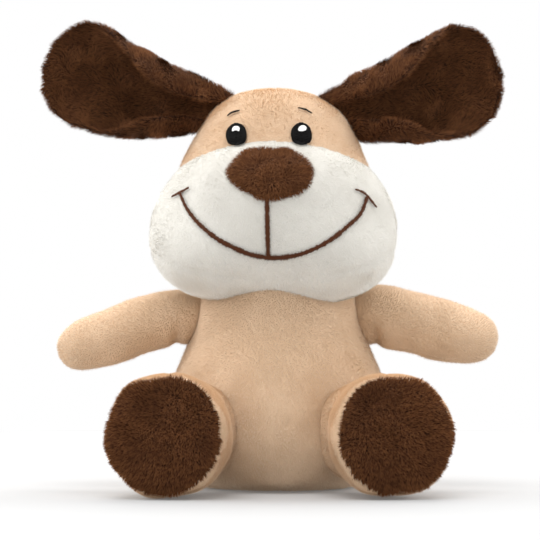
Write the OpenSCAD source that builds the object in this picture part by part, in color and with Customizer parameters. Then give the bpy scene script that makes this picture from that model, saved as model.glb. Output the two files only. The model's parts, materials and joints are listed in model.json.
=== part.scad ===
// Sitting plush dog, cut and sewn from short pile and long pile fabric,
// filled with polyester fibre above a pouch of pellets. Millimetres.
// +Z is up, +X is the dog's left and the dog faces -Y.
// The origin is the middle of the flat seat that it sits on.

/* [Fabric] */
// Thickness of the plush, backing and pile together
cloth = 1.6; // [1:0.1:2]
// Gap between the inside of a cover and its filling
fill_gap = 0.2; // [0.1:0.05:0.4]
// Gap left between a limb's root and the socket it turns in
joint_gap = 0.5; // [0.4:0.1:1]

/* [Body] */
// Radius of the flat seat
seat_r = 33; // [30:1:36]
// Largest radius of the belly
belly_r = 48; // [46:1:50]
// Height of the belly's widest place
belly_z = 28; // [24:1:32]
// Radius that the body narrows towards
neck_r = 28; // [27:1:30]
// Height of the top of the body
body_h = 84; // [82:1:86]
// Height of the pellet pouch
pouch_h = 20; // [14:1:24]

/* [Legs] */
// Radius of the foot
foot_r = 24.7; // [23:0.1:25]
// Distance of the hip from the middle
hip_x = 33; // [32:0.5:35]
// How far the hip lies in front of the middle
hip_front = 34; // [32:0.5:36]
// Length from the hip to the sole
leg_len = 40; // [36:1:44]
// Angle that each leg points outwards
leg_splay = 16; // [12:1:20]
// Radius of the sole patch
sole_r = 22.8; // [20:0.1:23]

/* [Arms] */
// Distance of the shoulder from the middle
shoulder_x = 37; // [36:0.5:39]
// Height of the shoulder
shoulder_z = 71; // [68:0.5:73]
// Length from the shoulder to the paw's tip
arm_len = 57.5; // [50:0.5:62]
// Largest radius of the arm
arm_r = 14; // [12:0.5:14.5]
// How far the left arm hangs below level
left_arm_droop = 12; // [5:1:18]
// How far the right arm hangs below level
right_arm_droop = 18; // [5:1:20]

/* [Head] */
// Radius of the skull
skull_r = 38; // [36:0.5:39]
// Height of the skull's middle
skull_z = 128; // [126:1:132]
// Radius of the muzzle
muzzle_r = 30.5; // [29:0.5:31]
// Full width of the muzzle
muzzle_w = 102; // [94:1:106]
// Height of the muzzle's middle
muzzle_z = 108.5; // [106:0.5:111]
// How far the muzzle's middle lies in front of the neck
muzzle_front = 20; // [18:0.5:22]
// Angle that the head is turned, positive to the dog's left
head_turn = -3; // [-6:1:6]

/* [Face] */
// Width of the nose
nose_w = 34; // [28:1:36]
// Height of the nose
nose_h = 21.5; // [18:0.5:24]
// Width of an eye
eye_w = 8.4; // [7:0.1:9]
// Distance of each eye from the middle of the face
eye_x = 13.1; // [12:0.1:15]
// Radius that the smile follows
smile_r = 42.3; // [38:0.1:46]
// Width of a line of satin stitch
stitch_w = 1.7; // [1:0.1:2.4]

/* [Ears] */
// Radius of the ear's round outer end
ear_r = 23.5; // [20:0.5:25]
// Thickness of one layer of the ear
ear_layer = 2.5; // [1.5:0.1:2.8]
// Distance of the outer end's middle from the middle of the head
ear_out = 74; // [66:1:76]
// Height of the outer end's middle
ear_z = 171.5; // [168:0.5:174]

/* [Tail] */
// Length of the tail
tail_len = 30; // [24:1:34]
// Angle that the tail points upwards
tail_lift = 35; // [25:1:40]

/* [Hidden] */
$fn = 120;

left = 1;
right = -1;
far = 400;                  // reaches past the whole toy
fill = cloth + fill_gap;    // inset of a filling from its cover's outside

tan_plush = "#E3C29C";
white_plush = "#F1EEE8";
brown_pile = "#4A2C18";
brown_thread = "#5B3328";
fibre = "#F7F5EF";

neck_z = 78;                // pivot of the neck
neck_ball = 22;
collar_r = 34.5;            // the head keeps outside this radius next to the body
collar_top = neck_z + 12;

hip_ball = 19;
hip_waist = 15;
shoulder_y = 4;
shoulder_ball = 12.5;
shoulder_waist = 9.5;
paw_r = 12.5;
tail_root = [0, 48.5, 20];
tail_ball = 8.5;
tail_waist = 5.5;
tail_tip = 6.5;
tail_full = 7.5;

skull_y = -1;
arch_z = 82.4;              // middle of the arc that bounds the top of the muzzle
arch_r = 60;
chin_seam_z = 87.4;
white_back_y = 11;          // the white plush ends here, towards the back
thread = 0.9;               // how proud the embroidery stands

ear_root_up = 48;           // angle of the ear's root above level, seen from the skull's middle
ear_root_r = skull_r + ear_layer + 0.6;

// ---- Shapes ----

function eased(a, b, u) = a + (b - a) * (1 - cos(180 * max(0, min(1, u)))) / 2;

// Radius of the pear-shaped body at a height
function body_r(z) = z < belly_z
    ? seat_r + (belly_r - seat_r) * pow(sin(90 * z / belly_z), 0.7)
    : neck_r + (belly_r - neck_r) * (1 + cos(180 * (z - belly_z) / 75)) / 2;

module body_form(inset) {
    rings = 28;
    rotate_extrude() polygon(concat(
        [[0, inset]],
        [for (i = [0:rings]) let (z = body_h * i / rings)
            [body_r(z) - inset, max(inset, min(body_h - inset, z))]],
        [[0, body_h - inset]]
    ));
}

// A limb turned about its own length: a ball at the root, a waist, the full part and a rounded end
module limb_form(ball, waist, full, full_at, end_r, edge, length, inset) {
    waist_at = sqrt(ball * ball - waist * waist);
    root_end = asin(waist / ball);
    bend = max(0.2, edge - inset);
    taper_end = length - edge;
    rotate_extrude() polygon(concat(
        [for (i = [0:8]) let (a = 180 - (180 - root_end) * i / 8)
            [(ball - inset) * sin(a), (ball - inset) * cos(a)]],
        [for (i = [1:8]) let (u = i / 8)
            [eased(waist, full, u) - inset, waist_at + (full_at - waist_at) * u]],
        [for (i = [1:4]) let (u = i / 4)
            [eased(full, end_r, u) - inset, full_at + (taper_end - full_at) * u]],
        [for (i = [1:6]) let (a = 90 - 15 * i)
            [end_r - inset - bend + bend * sin(a), length - inset - bend + bend * cos(a)]],
        [[0, length - inset]]
    ));
}

module arm_form(inset)
    limb_form(shoulder_ball, shoulder_waist, arm_r, 23, paw_r, paw_r, arm_len, inset);

module leg_form(inset)
    limb_form(hip_ball, hip_waist, foot_r, 31, foot_r, 3, leg_len, inset);

module tail_form(inset)
    limb_form(tail_ball, tail_waist, tail_full, 15, tail_tip, tail_tip, tail_len, inset);

// Places of the limbs; each limb's own length runs along +Z before it is placed

module at_shoulder(side) {
    droop = side == left ? left_arm_droop : right_arm_droop;
    translate([side * shoulder_x, shoulder_y, shoulder_z])
        rotate([0, side * (90 + droop), 0]) children();
}

function hip(side) = [side * hip_x, -hip_front, foot_r];

module at_hip(side) translate(hip(side)) rotate([90, 0, side * leg_splay]) children();

module at_tail() translate(tail_root) rotate([tail_lift - 90, 0, 0]) children();

module half_space(axis, sign)
    translate([for (i = [0:2]) i == axis ? sign * far / 2 : 0]) cube(far, center = true);

// Room in the body for the roots of the limbs, the tail and the neck
module sockets() {
    translate([0, 0, neck_z]) sphere(neck_ball + joint_gap);
    for (side = [left, right]) {
        at_shoulder(side) sphere(shoulder_ball + joint_gap);
        translate(hip(side)) sphere(hip_ball + joint_gap);
    }
    translate(tail_root) sphere(tail_ball + joint_gap);
}

module gusset_form() cylinder(h = cloth, r = seat_r - cloth);

// One quarter of the body's cover
module body_panel(side, y_sign) {
    color(tan_plush) difference() {
        intersection() {
            body_form(0);
            half_space(0, side);
            half_space(1, y_sign);
        }
        body_form(cloth);
        gusset_form();
        sockets();
    }
}

// ---- Head ----

module on_neck() rotate([0, 0, head_turn]) children();

// The muzzle is a round bar lying across the face, with domed ends
module muzzle_form(inset) {
    r = muzzle_r - inset;
    half = muzzle_w / 2 - muzzle_r;
    translate([0, -muzzle_front, muzzle_z]) rotate([0, 90, 0]) rotate_extrude()
        intersection() {
            union() {
                translate([0, -half]) square([r, 2 * half]);
                for (end = [-half, half]) translate([0, end]) circle(r);
            }
            translate([0, -far / 2]) square([far, far]);
        }
}

module head_form(inset) {
    translate([0, skull_y, skull_z]) sphere(skull_r - inset);
    muzzle_form(inset);
}

// Room under the head for the neck and for the top of the body
module neck_room() {
    translate([0, 0, neck_z]) sphere(neck_ball + joint_gap);
    intersection() {
        translate([0, 0, neck_z]) sphere(collar_r);
        translate([0, 0, collar_top]) half_space(2, -1);
    }
}

module head_cover() {
    difference() {
        head_form(0);
        head_form(cloth);
        neck_room();
    }
}

// An upright outline on the face, carried from front to back through the head
module through_face(depth = far) rotate([90, 0, 0]) linear_extrude(depth) children();

module white_region()
    translate([0, white_back_y, 0]) through_face() translate([0, arch_z]) circle(arch_r);

// A layer of thread that lies on the face, inside an outline
module embroidered(proud) {
    intersection() {
        difference() {
            head_form(-proud);
            head_form(0);
        }
        translate([0, -muzzle_front, 0]) through_face() children();
    }
}

// A stitched line between two points, with round ends
module stitched_line(from, to, w) {
    run = to - from;
    translate(from) rotate(atan2(run[1], run[0])) {
        translate([0, -w / 2]) square([norm(run), w]);
        circle(d = w);
        translate([norm(run), 0]) circle(d = w);
    }
}

module eye_at(side) translate([side * eye_x, 144.9]) children();

// ---- Ears ----

// The root runs along the head, square to root_dir; the ear lies on the far side of it
root_dir = [cos(ear_root_up), sin(ear_root_up)];
ear_root = [0, skull_z] + ear_root_r * root_dir;

module ear_outline() {
    difference() {
        hull() {
            translate([ear_out, ear_z]) circle(ear_r);
            translate([38, 158.5]) circle(11.5);
        }
        translate(ear_root) rotate(ear_root_up) translate([-far, -far / 2]) square(far);
    }
}

module ear_panel(side, y_sign) {
    color(brown_pile) on_neck() mirror([side == right ? 1 : 0, 0, 0])
        translate([0, y_sign > 0 ? ear_layer : 0, 0]) through_face(ear_layer) ear_outline();
}

// ---- Body pieces ----

module front_panel_left() body_panel(left, -1);
module front_panel_right() body_panel(right, -1);
module back_panel_left() body_panel(left, 1);
module back_panel_right() body_panel(right, 1);

module seat_gusset() { color(tan_plush) gusset_form(); }

module body_stuffing() {
    color(fibre) difference() {
        body_form(fill);
        translate([0, 0, pouch_h + fill_gap]) half_space(2, -1);
        sockets();
    }
}

module pellet_pouch() {
    color("silver") difference() {
        body_form(fill);
        translate([0, 0, pouch_h]) half_space(2, 1);
        sockets();
    }
}

module neck_stuffing() { color(fibre) translate([0, 0, neck_z]) sphere(neck_ball); }

// ---- Head pieces ----

module forehead_panel() {
    color(tan_plush) on_neck() difference() {
        head_cover();
        white_region();
        half_space(1, 1);
    }
}

module head_back(side) {
    color(tan_plush) on_neck() difference() {
        intersection() {
            head_cover();
            half_space(1, 1);
            half_space(0, side);
        }
        white_region();
    }
}

module head_back_left() head_back(left);
module head_back_right() head_back(right);

module white_panel(z_sign) {
    color(white_plush) on_neck() intersection() {
        head_cover();
        white_region();
        translate([0, 0, chin_seam_z]) half_space(2, z_sign);
    }
}

module muzzle_panel() white_panel(1);
module chin_panel() white_panel(-1);

module head_stuffing() {
    color(fibre) on_neck() difference() {
        head_form(fill);
        neck_room();
    }
}

module nose() {
    color(brown_pile) on_neck() difference() {
        translate([0, -42, 128]) scale([nose_w / 2, 9, nose_h / 2]) sphere(1);
        head_form(0);
    }
}

module eye_outline() scale([1, 1.1]) circle(eye_w / 2);

module glint_outline() translate([0, 2.3]) scale([1, 0.75]) circle(1.9);

module eye(side) {
    color("#17171A") on_neck() difference() {
        embroidered(thread) eye_at(side) difference() {
            eye_outline();
            glint_outline();
        }
        nose_clear();
    }
}

// Keeps the eyes' stitches off the nose
module nose_clear() {
    translate([0, -42, 128]) scale([nose_w / 2 + 0.3, 9.3, nose_h / 2 + 0.3]) sphere(1);
}

module left_eye() eye(left);
module right_eye() eye(right);

module eye_glint(side) {
    color("white") on_neck() embroidered(thread) eye_at(side) glint_outline();
}

module left_eye_glint() eye_glint(left);
module right_eye_glint() eye_glint(right);

module eyebrow(side) {
    color(brown_thread) on_neck() embroidered(thread)
        stitched_line([side * 12, 157.4], [side * 17.3, 155.4], 1);
}

module left_eyebrow() eyebrow(left);
module right_eyebrow() eyebrow(right);

module smile_stitching() {
    color(brown_thread) on_neck() embroidered(thread)
        translate([0, 138.5]) difference() {
            circle(smile_r + stitch_w / 2);
            circle(smile_r - stitch_w / 2);
            translate([-far / 2, -16]) square(far);
        }
}

module lip_stitching() {
    color(brown_thread) on_neck() difference() {
        embroidered(thread) stitched_line([0, 98.2], [0, 121], stitch_w);
        nose_clear();
    }
}

module dimple_stitch(side) {
    color(brown_thread) on_neck() embroidered(thread)
        stitched_line([side * 36.5, 125.6], [side * 41.5, 122.4], 1.2);
}

module left_dimple_stitch() dimple_stitch(left);
module right_dimple_stitch() dimple_stitch(right);

module left_ear_front() ear_panel(left, -1);
module left_ear_back() ear_panel(left, 1);
module right_ear_front() ear_panel(right, -1);
module right_ear_back() ear_panel(right, 1);

// ---- Arms ----

module arm_panel(side, y_sign) {
    color(tan_plush) intersection() {
        at_shoulder(side) difference() {
            arm_form(0);
            arm_form(cloth);
        }
        translate([0, shoulder_y, 0]) half_space(1, y_sign);
    }
}

module left_arm_front() arm_panel(left, -1);
module left_arm_back() arm_panel(left, 1);
module right_arm_front() arm_panel(right, -1);
module right_arm_back() arm_panel(right, 1);
module left_arm_stuffing() { color(fibre) at_shoulder(left) arm_form(fill); }
module right_arm_stuffing() { color(fibre) at_shoulder(right) arm_form(fill); }

// ---- Legs ----

module sole_room() translate([0, 0, leg_len - 3]) cylinder(h = 6, r = sole_r);

module leg_panel(side, x_sign) {
    color(tan_plush) at_hip(side) difference() {
        leg_form(0);
        leg_form(cloth);
        sole_room();
        half_space(0, -x_sign);
    }
}

module sole(side) {
    color(brown_pile) at_hip(side) intersection() {
        difference() {
            leg_form(0);
            leg_form(cloth);
        }
        sole_room();
    }
}

module left_leg_inner() leg_panel(left, -1);
module left_leg_outer() leg_panel(left, 1);
module left_sole() sole(left);
module left_leg_stuffing() { color(fibre) at_hip(left) leg_form(fill); }
module right_leg_inner() leg_panel(right, 1);
module right_leg_outer() leg_panel(right, -1);
module right_sole() sole(right);
module right_leg_stuffing() { color(fibre) at_hip(right) leg_form(fill); }

// ---- Tail ----

module tail_cover() {
    color(tan_plush) at_tail() difference() {
        tail_form(0);
        tail_form(cloth);
    }
}

module tail_stuffing() { color(fibre) at_tail() tail_form(fill); }

front_panel_left();
front_panel_right();
back_panel_left();
back_panel_right();
seat_gusset();
body_stuffing();
pellet_pouch();
neck_stuffing();
forehead_panel();
head_back_left();
head_back_right();
muzzle_panel();
chin_panel();
head_stuffing();
nose();
left_eye();
right_eye();
left_eye_glint();
right_eye_glint();
left_eyebrow();
right_eyebrow();
smile_stitching();
lip_stitching();
left_dimple_stitch();
right_dimple_stitch();
left_ear_front();
left_ear_back();
right_ear_front();
right_ear_back();
left_arm_front();
left_arm_back();
left_arm_stuffing();
right_arm_front();
right_arm_back();
right_arm_stuffing();
left_leg_inner();
left_leg_outer();
left_sole();
left_leg_stuffing();
right_leg_inner();
right_leg_outer();
right_sole();
right_leg_stuffing();
tail_cover();
tail_stuffing();
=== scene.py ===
# A sitting plush dog, sewn from short tan and white plush and long brown pile.
# Metres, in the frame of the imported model: +X is the dog's left, the dog faces -Y.
import json
import math
import bmesh
import bpy
import numpy as np
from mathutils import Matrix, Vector
from mathutils.bvhtree import BVHTree


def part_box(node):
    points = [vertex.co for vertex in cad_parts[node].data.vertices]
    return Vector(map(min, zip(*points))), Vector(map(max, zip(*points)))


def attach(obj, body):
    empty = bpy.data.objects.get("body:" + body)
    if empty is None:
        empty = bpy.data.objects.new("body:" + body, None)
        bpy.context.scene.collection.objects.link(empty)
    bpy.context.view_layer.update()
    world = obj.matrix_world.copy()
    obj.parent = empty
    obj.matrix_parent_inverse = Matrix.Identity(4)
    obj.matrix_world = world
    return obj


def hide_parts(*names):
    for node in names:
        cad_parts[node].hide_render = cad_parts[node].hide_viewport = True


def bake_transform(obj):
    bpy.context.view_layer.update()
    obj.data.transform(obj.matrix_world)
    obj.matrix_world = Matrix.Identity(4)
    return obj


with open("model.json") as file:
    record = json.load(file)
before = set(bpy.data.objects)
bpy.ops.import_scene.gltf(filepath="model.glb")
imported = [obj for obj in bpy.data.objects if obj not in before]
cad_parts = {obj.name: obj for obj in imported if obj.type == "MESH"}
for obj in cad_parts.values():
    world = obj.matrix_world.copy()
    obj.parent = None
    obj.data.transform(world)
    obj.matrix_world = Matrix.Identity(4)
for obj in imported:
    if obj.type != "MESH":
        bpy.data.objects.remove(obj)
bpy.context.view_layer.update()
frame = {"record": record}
scene = bpy.context.scene
scene.view_settings.view_transform = "Standard"
MM = 0.001
LEFT, RIGHT = 1, -1


# ---- Camera --------------------------------------------------------------------------
# A long lens one metre in front of the toy, at the height of its chest. It looks up by a
# little over one degree.
camera = bpy.data.objects.new("camera", bpy.data.cameras.new("camera"))
scene.collection.objects.link(camera)
camera.location = (-2.5 * MM, -1.0, 70 * MM)
camera.rotation_euler = (math.radians(91.2), 0, 0)
camera.data.lens = 158.7
camera.data.sensor_width = 36
camera.data.clip_end = 20
scene.camera = camera


# ---- Body ----------------------------------------------------------------------------
# The body is a pear of four short plush panels and a round seat, sewn inside out, turned
# and stuffed with polyester fibre above a pouch of pellets. The seams pull in a little.
pivot = {j["name"]: Vector(j["pos_m"]) / MM for j in frame["record"]["behaviour"]["joints"]}
PANEL_THICK = 1.1
SEAM_WIDTH = 1.3
STILL = (0, 0, 1, 0)
STUFFING_PRESSURE = 4
SWELL_FRAMES = 20


def linear(colour):
    """An sRGB hex value as the linear colour that a shader's socket takes."""
    parts = [int(colour[i:i + 2], 16) / 255 for i in (1, 3, 5)]
    return [c / 12.92 if c <= 0.04045 else ((c + 0.055) / 1.055) ** 2.4 for c in parts] + [1]


def add(tree, kind, inputs=None, **settings):
    """Adds a node and returns its outputs. Of its inputs, a socket is linked, a value set."""
    node = tree.nodes.new(kind)
    for name, value in settings.items():
        setattr(node, name, value)
    for socket, value in (inputs or {}).items():
        if isinstance(value, bpy.types.NodeSocket):
            tree.links.new(value, node.inputs[socket])
        else:
            node.inputs[socket].default_value = value
    return node.outputs


def through(stations, x):
    """A smooth curve through (place, value) stations, level at each end."""
    places = np.array([s[0] for s in stations], float)
    values = np.array([s[1:] for s in stations], float)
    slopes = np.gradient(values, places, axis=0)
    x = np.clip(np.atleast_1d(np.asarray(x, float)), places[0], places[-1])
    i = np.clip(np.searchsorted(places, x, side="right") - 1, 0, len(places) - 2)
    gap = (places[i + 1] - places[i])[:, None]
    u = (x - places[i])[:, None] / gap
    return ((1 + 2 * u) * (1 - u) ** 2 * values[i] + u * (1 - u) ** 2 * gap * slopes[i]
            + u * u * (3 - 2 * u) * values[i + 1] + u * u * (u - 1) * gap * slopes[i + 1])


def ripple(points, length, seed):
    """Smooth noise of about -1 to 1 with the given wavelength, the same on every run."""
    rng = np.random.default_rng(seed)
    total = np.zeros(len(points))
    for _ in range(9):
        direction = rng.normal(size=3)
        direction *= rng.uniform(0.6, 1.6) / np.linalg.norm(direction)
        total += np.sin(points @ direction * 2 * math.pi / length + rng.uniform(0, 2 * math.pi))
    return total / 3


def made(name, points, faces):
    """A mesh object from points in millimetres."""
    mesh = bpy.data.meshes.new(name)
    mesh.from_pydata([tuple(p) for p in np.asarray(points) * MM], [], [tuple(f) for f in faces])
    thing = bpy.data.objects.new(name, mesh)
    scene.collection.objects.link(thing)
    return thing


def apply_modifiers(thing):
    graph = bpy.context.evaluated_depsgraph_get()
    mesh = bpy.data.meshes.new_from_object(thing.evaluated_get(graph))
    thing.modifiers.clear()
    thing.data = mesh


def places(thing):
    points = np.empty(len(thing.data.vertices) * 3)
    thing.data.vertices.foreach_get("co", points)
    return points.reshape(-1, 3) / MM


def move_to(thing, points):
    thing.data.vertices.foreach_set("co", (np.asarray(points) * MM).ravel())
    thing.data.update()


def normals(thing):
    out = np.empty(len(thing.data.vertices) * 3)
    thing.data.vertex_normals.foreach_get("vector", out)
    return out.reshape(-1, 3)


def loft(name, centres, sizes, power=2.0, sides=48):
    """A closed tube: rings of two half widths along centres, with each end closed by a point."""
    centres, sizes = np.asarray(centres, float), np.asarray(sizes, float)
    along = np.gradient(centres, axis=0)
    along /= np.linalg.norm(along, axis=1)[:, None]
    up = np.array([0, 0, 1.0]) if abs(along[:, 2]).max() < 0.9 else np.array([0, 1.0, 0])
    points, faces = [centres[0]], []
    for c, a, (wide, high) in zip(centres, along, sizes):
        across = np.cross(a, up)
        across /= np.linalg.norm(across)
        top = np.cross(across, a)
        for k in range(sides):
            t = 2 * math.pi * k / sides
            x, y = math.cos(t), math.sin(t)
            grow = (abs(x) ** power + abs(y) ** power) ** (-1 / power)
            points.append(c + across * x * grow * wide + top * y * grow * high)
    points.append(centres[-1])
    rings, last = len(centres), len(points) - 1
    for i in range(rings - 1):
        for k in range(sides):
            a, b = 1 + i * sides + k, 1 + i * sides + (k + 1) % sides
            faces.append((a, b, b + sides, a + sides))
    for k in range(sides):
        k2 = (k + 1) % sides
        faces.append((0, 1 + k2, 1 + k))
        faces.append((last, 1 + (rings - 1) * sides + k, 1 + (rings - 1) * sides + k2))
    thing = made(name, points, faces)
    face_outward(thing)
    return thing


def face_outward(thing):
    shape = bmesh.new()
    shape.from_mesh(thing.data)
    bmesh.ops.recalc_face_normals(shape, faces=shape.faces)
    shape.to_mesh(thing.data)
    shape.free()


def stuffed(thing, seam_distance, voxel, cap, levels):
    """Remeshes a form evenly and lets stuffing swell it between its seams, which hold. The
    surface moves by cap at most, and is then subdivided."""
    even = thing.modifiers.new("even", "REMESH")
    even.mode = "VOXEL"
    even.voxel_size = voxel * MM
    thing.modifiers.new("smooth", "SMOOTH").iterations = 3
    apply_modifiers(thing)
    before = places(thing)
    held = thing.vertex_groups.new(name="held")
    near = np.clip(1 - seam_distance(before) / voxel, 0, 1)
    for i in np.nonzero(near > 0)[0]:
        held.add([int(i)], float(near[i]), "REPLACE")
    cloth = thing.modifiers.new("cloth", "CLOTH")
    cloth.settings.use_pressure = True
    cloth.settings.uniform_pressure_force = STUFFING_PRESSURE
    cloth.settings.vertex_group_mass = "held"
    cloth.settings.effector_weights.gravity = 0
    for step in range(1, SWELL_FRAMES + 1):
        scene.frame_set(step)
    apply_modifiers(thing)
    scene.frame_set(1)
    shift = places(thing) - before
    size = np.linalg.norm(shift, axis=1)[:, None]
    move_to(thing, before + shift * np.minimum(1, cap / np.maximum(size, 1e-9)))
    thing.vertex_groups.clear()
    fine = thing.modifiers.new("fine", "SUBSURF")
    fine.levels = fine.render_levels = levels
    apply_modifiers(thing)


def pressed(thing, distance, depth, width=SEAM_WIDTH):
    """Pulls the surface in along a seam."""
    points = places(thing)
    dip = depth * np.exp(-(distance(points) / width) ** 2)
    move_to(thing, points - normals(thing) * dip[:, None])


def settled(thing):
    """Flattens what would lie below the surface that the toy sits on."""
    points = places(thing)
    points[:, 2] = np.maximum(points[:, 2], 0)
    move_to(thing, points)


def panels(thing, names, sort):
    """Cuts a form into fabric panels; sort gives each face's number in names from its middle.
    Each panel gets an inner side and a rim, and an attribute that keeps the pile outside."""
    points = places(thing)
    faces = [tuple(p.vertices) for p in thing.data.polygons]
    middles = np.array([points[list(f)].mean(0) for f in faces])
    outward = normals(thing)
    label = sort(middles)
    out = []
    for number, name in enumerate(names):
        chosen = [faces[i] for i in np.nonzero(label == number)[0]]
        used = sorted({v for f in chosen for v in f})
        index = {v: i for i, v in enumerate(used)}
        outer = [tuple(index[v] for v in f) for f in chosen]
        count = len(used)
        edges = {}
        for f in outer:
            for a, b in zip(f, f[1:] + f[:1]):
                edges[(a, b)] = edges.get((a, b), 0) + 1
        rim = [(b, a, a + count, b + count) for a, b in edges if (b, a) not in edges]
        inner = [tuple(v + count for v in reversed(f)) for f in outer]
        shell = np.vstack([points[used], points[used] - outward[used] * PANEL_THICK])
        piece = made(name, shell, outer + inner + rim)
        growing(piece, [1.0] * len(outer) + [0.0] * (len(inner) + len(rim)))
        smooth_shaded(piece)
        crisp_rim(piece, len(rim))
        out.append(piece)
    return out


def crisp_rim(thing, count):
    """Keeps the shading of the panel's face apart from that of its rim, its last faces."""
    sharp = thing.data.attributes.new("sharp_edge", "BOOLEAN", "EDGE")
    for polygon in thing.data.polygons[len(thing.data.polygons) - count:]:
        for loop in polygon.loop_indices:
            sharp.data[thing.data.loops[loop].edge_index].value = True


def growing(thing, shares):
    """Stores how thickly the pile grows on each face."""
    grows = thing.data.attributes.new("grows", "FLOAT", "FACE")
    grows.data.foreach_set("value", shares)


def smooth_shaded(thing):
    thing.data.polygons.foreach_set("use_smooth", [True] * len(thing.data.polygons))


def waves(p, *axes):
    """A direction at each point. Each axis has a steady part, a wave, its length and seed."""
    return np.column_stack([steady + size * ripple(p, length, seed)
                            for steady, size, length, seed in axes])


def combed(thing, direction):
    """Stores the way the pile leans at each point."""
    comb = thing.data.attributes.new("comb", "FLOAT_VECTOR", "POINT")
    comb.data.foreach_set("vector", np.asarray(direction(places(thing)), float).ravel())


def filling(thing, name, inset):
    """The stuffing: the form itself, drawn in from the cover."""
    inside = thing.copy()
    inside.data = thing.data.copy()
    inside.name = name
    scene.collection.objects.link(inside)
    inside.modifiers.new("few", "DECIMATE").ratio = 0.15
    apply_modifiers(inside)
    move_to(inside, places(inside) - normals(inside) * inset)
    smooth_shaded(inside)
    inside.data.materials.clear()
    inside.data.materials.append(fibre_fill)
    return inside


def plush(name, root, tip, patch, patch_mm, grain_mm, contrast, sheen):
    """Knitted pile fabric. Each tuft runs from a root darkened with painted shade, standing in
    for the shadow deep in the pile, to a lighter tip; the cloth between the tufts takes the root
    colour, painted shade too. Tufts differ a little in dye, and wider patches show where the nap
    lies another way."""
    material = bpy.data.materials.new(name)
    material.use_nodes = True
    tree = material.node_tree
    tree.nodes.clear()
    where = add(tree, "ShaderNodeTexCoord")["Object"]
    along = add(tree, "ShaderNodeAttribute", attribute_name="along")
    tone = add(tree, "ShaderNodeAttribute", attribute_name="tone")
    wide = add(tree, "ShaderNodeTexNoise", {"Vector": where, "Scale": 1 / (patch_mm * MM),
                                            "Detail": 3.0, "Roughness": 0.6})
    grain = add(tree, "ShaderNodeTexNoise", {"Vector": where, "Scale": 1 / (grain_mm * MM),
                                             "Detail": 2.0})
    mixed = add(tree, "ShaderNodeMath", {0: tone["Fac"], 1: grain["Fac"]},
                operation="ADD")
    lift = add(tree, "ShaderNodeMath", {0: mixed[0], 1: contrast, 2: 0.85 - contrast},
               operation="MULTIPLY_ADD", use_clamp=True)
    # Low along, and the bare cloth that carries none, take the root colour: painted shade in the
    # pile.
    blend = add(tree, "ShaderNodeMath", {0: along["Fac"], 1: lift[0]},
                operation="MULTIPLY", use_clamp=True)
    shade = add(tree, "ShaderNodeMix",
                {"Factor": blend[0], "A": linear(root), "B": linear(tip)}, data_type="RGBA")
    spread = add(tree, "ShaderNodeMapRange", {"Value": wide["Fac"], "From Min": 0.42,
                                              "From Max": 0.72, "To Min": 0.0, "To Max": 0.55})
    worn = add(tree, "ShaderNodeMix",
               {"Factor": spread[0], "A": shade["Result"], "B": linear(patch)},
               data_type="RGBA")
    knit = add(tree, "ShaderNodeBump", {"Height": grain["Fac"], "Strength": 0.12,
                                        "Distance": 0.3 * MM})
    fibre = add(tree, "ShaderNodeBsdfPrincipled",
                {"Base Color": worn["Result"], "Normal": knit["Normal"],
                 "Roughness": 0.85, "Sheen Weight": sheen, "Sheen Roughness": 0.35,
                 "Sheen Tint": linear(tip), "Specular IOR Level": 0.15})
    add(tree, "ShaderNodeOutputMaterial", {"Surface": fibre["BSDF"]})
    return material


def node_group(name, inputs):
    """A group of geometry nodes that takes a mesh and named inputs and gives a mesh."""
    tree = bpy.data.node_groups.new(name, "GeometryNodeTree")
    for label, kind in [("Geometry", "Geometry")] + inputs:
        tree.interface.new_socket(label, in_out="INPUT", socket_type="NodeSocket" + kind)
    tree.interface.new_socket("Geometry", in_out="OUTPUT", socket_type="NodeSocketGeometry")
    return tree, add(tree, "NodeGroupInput")


def run_group(thing, tree, values):
    """Runs a group on a piece with these inputs and keeps the result as one plain mesh."""
    run = thing.modifiers.new(tree.name, "NODES")
    run.node_group = tree
    for item in tree.interface.items_tree:
        if item.in_out == "INPUT" and item.name in values:
            run[item.identifier] = values[item.name]
    apply_modifiers(thing)


def stored(tree, name, kind):
    """A value that the mesh carries under this name."""
    return add(tree, "GeometryNodeInputNamedAttribute", {"Name": name}, data_type=kind)[0]


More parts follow.
